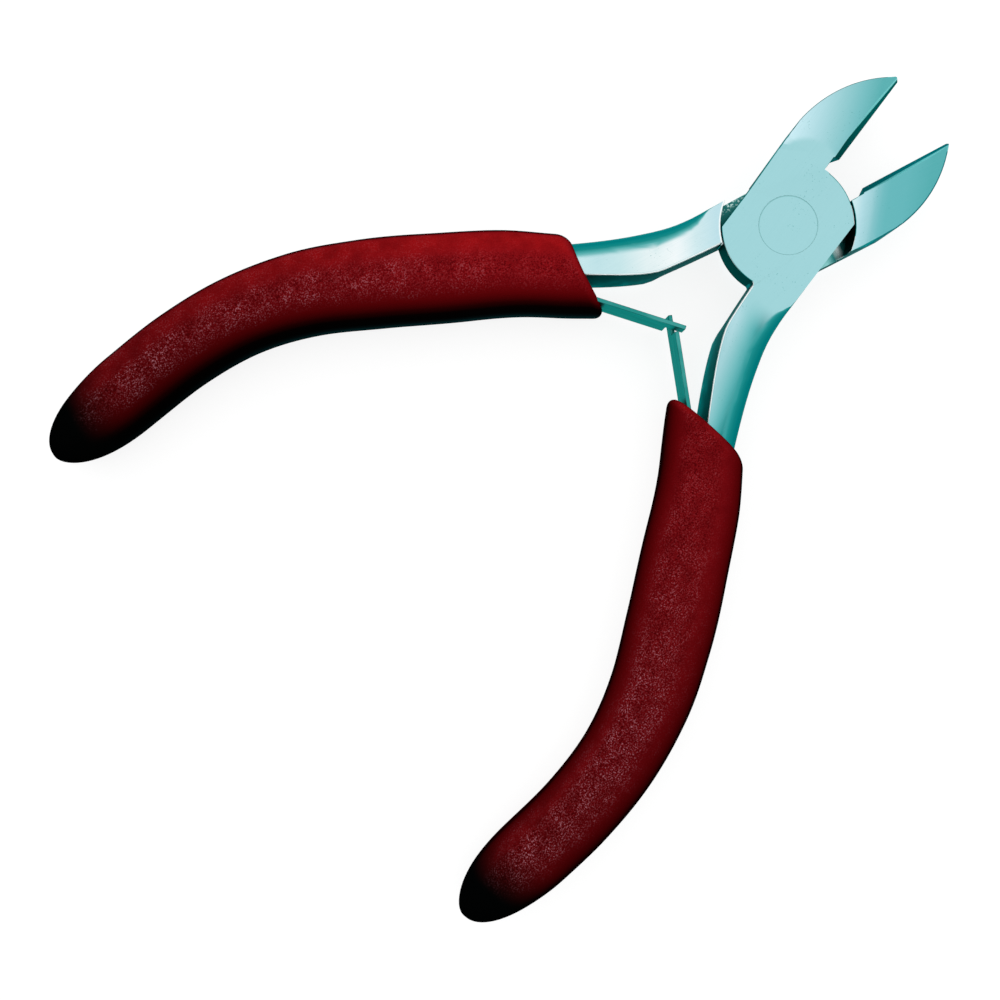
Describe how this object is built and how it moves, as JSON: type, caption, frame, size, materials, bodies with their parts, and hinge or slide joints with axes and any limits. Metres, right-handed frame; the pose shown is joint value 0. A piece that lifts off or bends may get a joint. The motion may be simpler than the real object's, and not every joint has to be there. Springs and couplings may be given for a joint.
{
  "type": "side cutters",
  "caption": "Mini diagonal cutting pliers with lap-jointed steel arms on a flush rivet, curved soft grips, and hooked leaf springs that hold the jaws open.",
  "frame": {"origin": "on the pivot axis, in the back face of the head", "axes": "+X along the middle of the tool towards the jaws, +Z along the pivot out of the front face, +Y across the tool towards the front arm's jaw"},
  "size_m": [0.1089, 0.0855, 0.01],
  "materials": {
    "steel": "polished forged steel with a cool tint",
    "spring": "tempered spring steel",
    "grip": "soft dark red coating with a fine grain"
  },
  "bodies": {
    "back_arm": {"back_arm": "steel", "back_grip": "grip", "back_leaf_root": "spring", "back_leaf_rivet": "spring", "pivot_rivet": "steel"},
    "front_arm": {"front_arm": "steel", "front_grip": "grip", "front_leaf_root": "spring", "front_leaf_rivet": "spring"},
    "back_leaf": {"back_leaf_blade": "spring"},
    "front_leaf": {"front_leaf_blade": "spring"}
  },
  "joints": [
    {"name": "jaw_pivot", "type": "hinge", "parent": "back_arm", "child": "front_arm", "pos_m": [0, 0, 0.004], "axis": [0, 0, -1], "range_deg": [0, 24.2], "stiffness_Nm_per_rad": 1.2},
    {"name": "front_leaf_flex", "type": "hinge", "parent": "front_arm", "child": "front_leaf", "pos_m": [-0.02613, -0.01359, 0.004], "axis": [0, 0, -1], "range_deg": [0, 19]},
    {"name": "back_leaf_flex", "type": "hinge", "parent": "back_arm", "child": "back_leaf", "pos_m": [-0.02675, 0.01408, 0.004], "axis": [0, 0, 1], "range_deg": [0, 17]}
  ],
  "couplings": [
    {"joint": "front_leaf_flex", "follows": "jaw_pivot", "ratio": 0.74494},
    {"joint": "back_leaf_flex", "follows": "jaw_pivot", "ratio": 0.65123}
  ]
}
